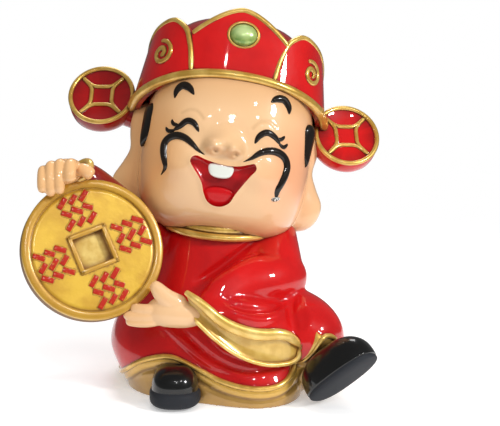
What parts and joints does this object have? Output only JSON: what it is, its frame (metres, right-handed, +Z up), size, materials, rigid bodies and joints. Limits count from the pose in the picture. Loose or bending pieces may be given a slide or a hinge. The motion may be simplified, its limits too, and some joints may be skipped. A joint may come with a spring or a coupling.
{
  "type": "caishen figure",
  "caption": "Seated cartoon Caishen figurine in glossy painted resin: red and gold robe, winged hat, laughing face, and a large gold coin held at one side.",
  "frame": {"origin": "on the flat underside, where the upright axis of the torso meets the floor", "axes": "+Z up, the figure faces -Y, and the side of its left hand is +X"},
  "size_m": [0.2048, 0.1396, 0.2197],
  "materials": {
    "painted_resin": "glossy lacquer over red, gold, skin and black paint"
  },
  "bodies": {
    "root": {"caishen_figure": "painted_resin"}
  },
  "joints": []
}
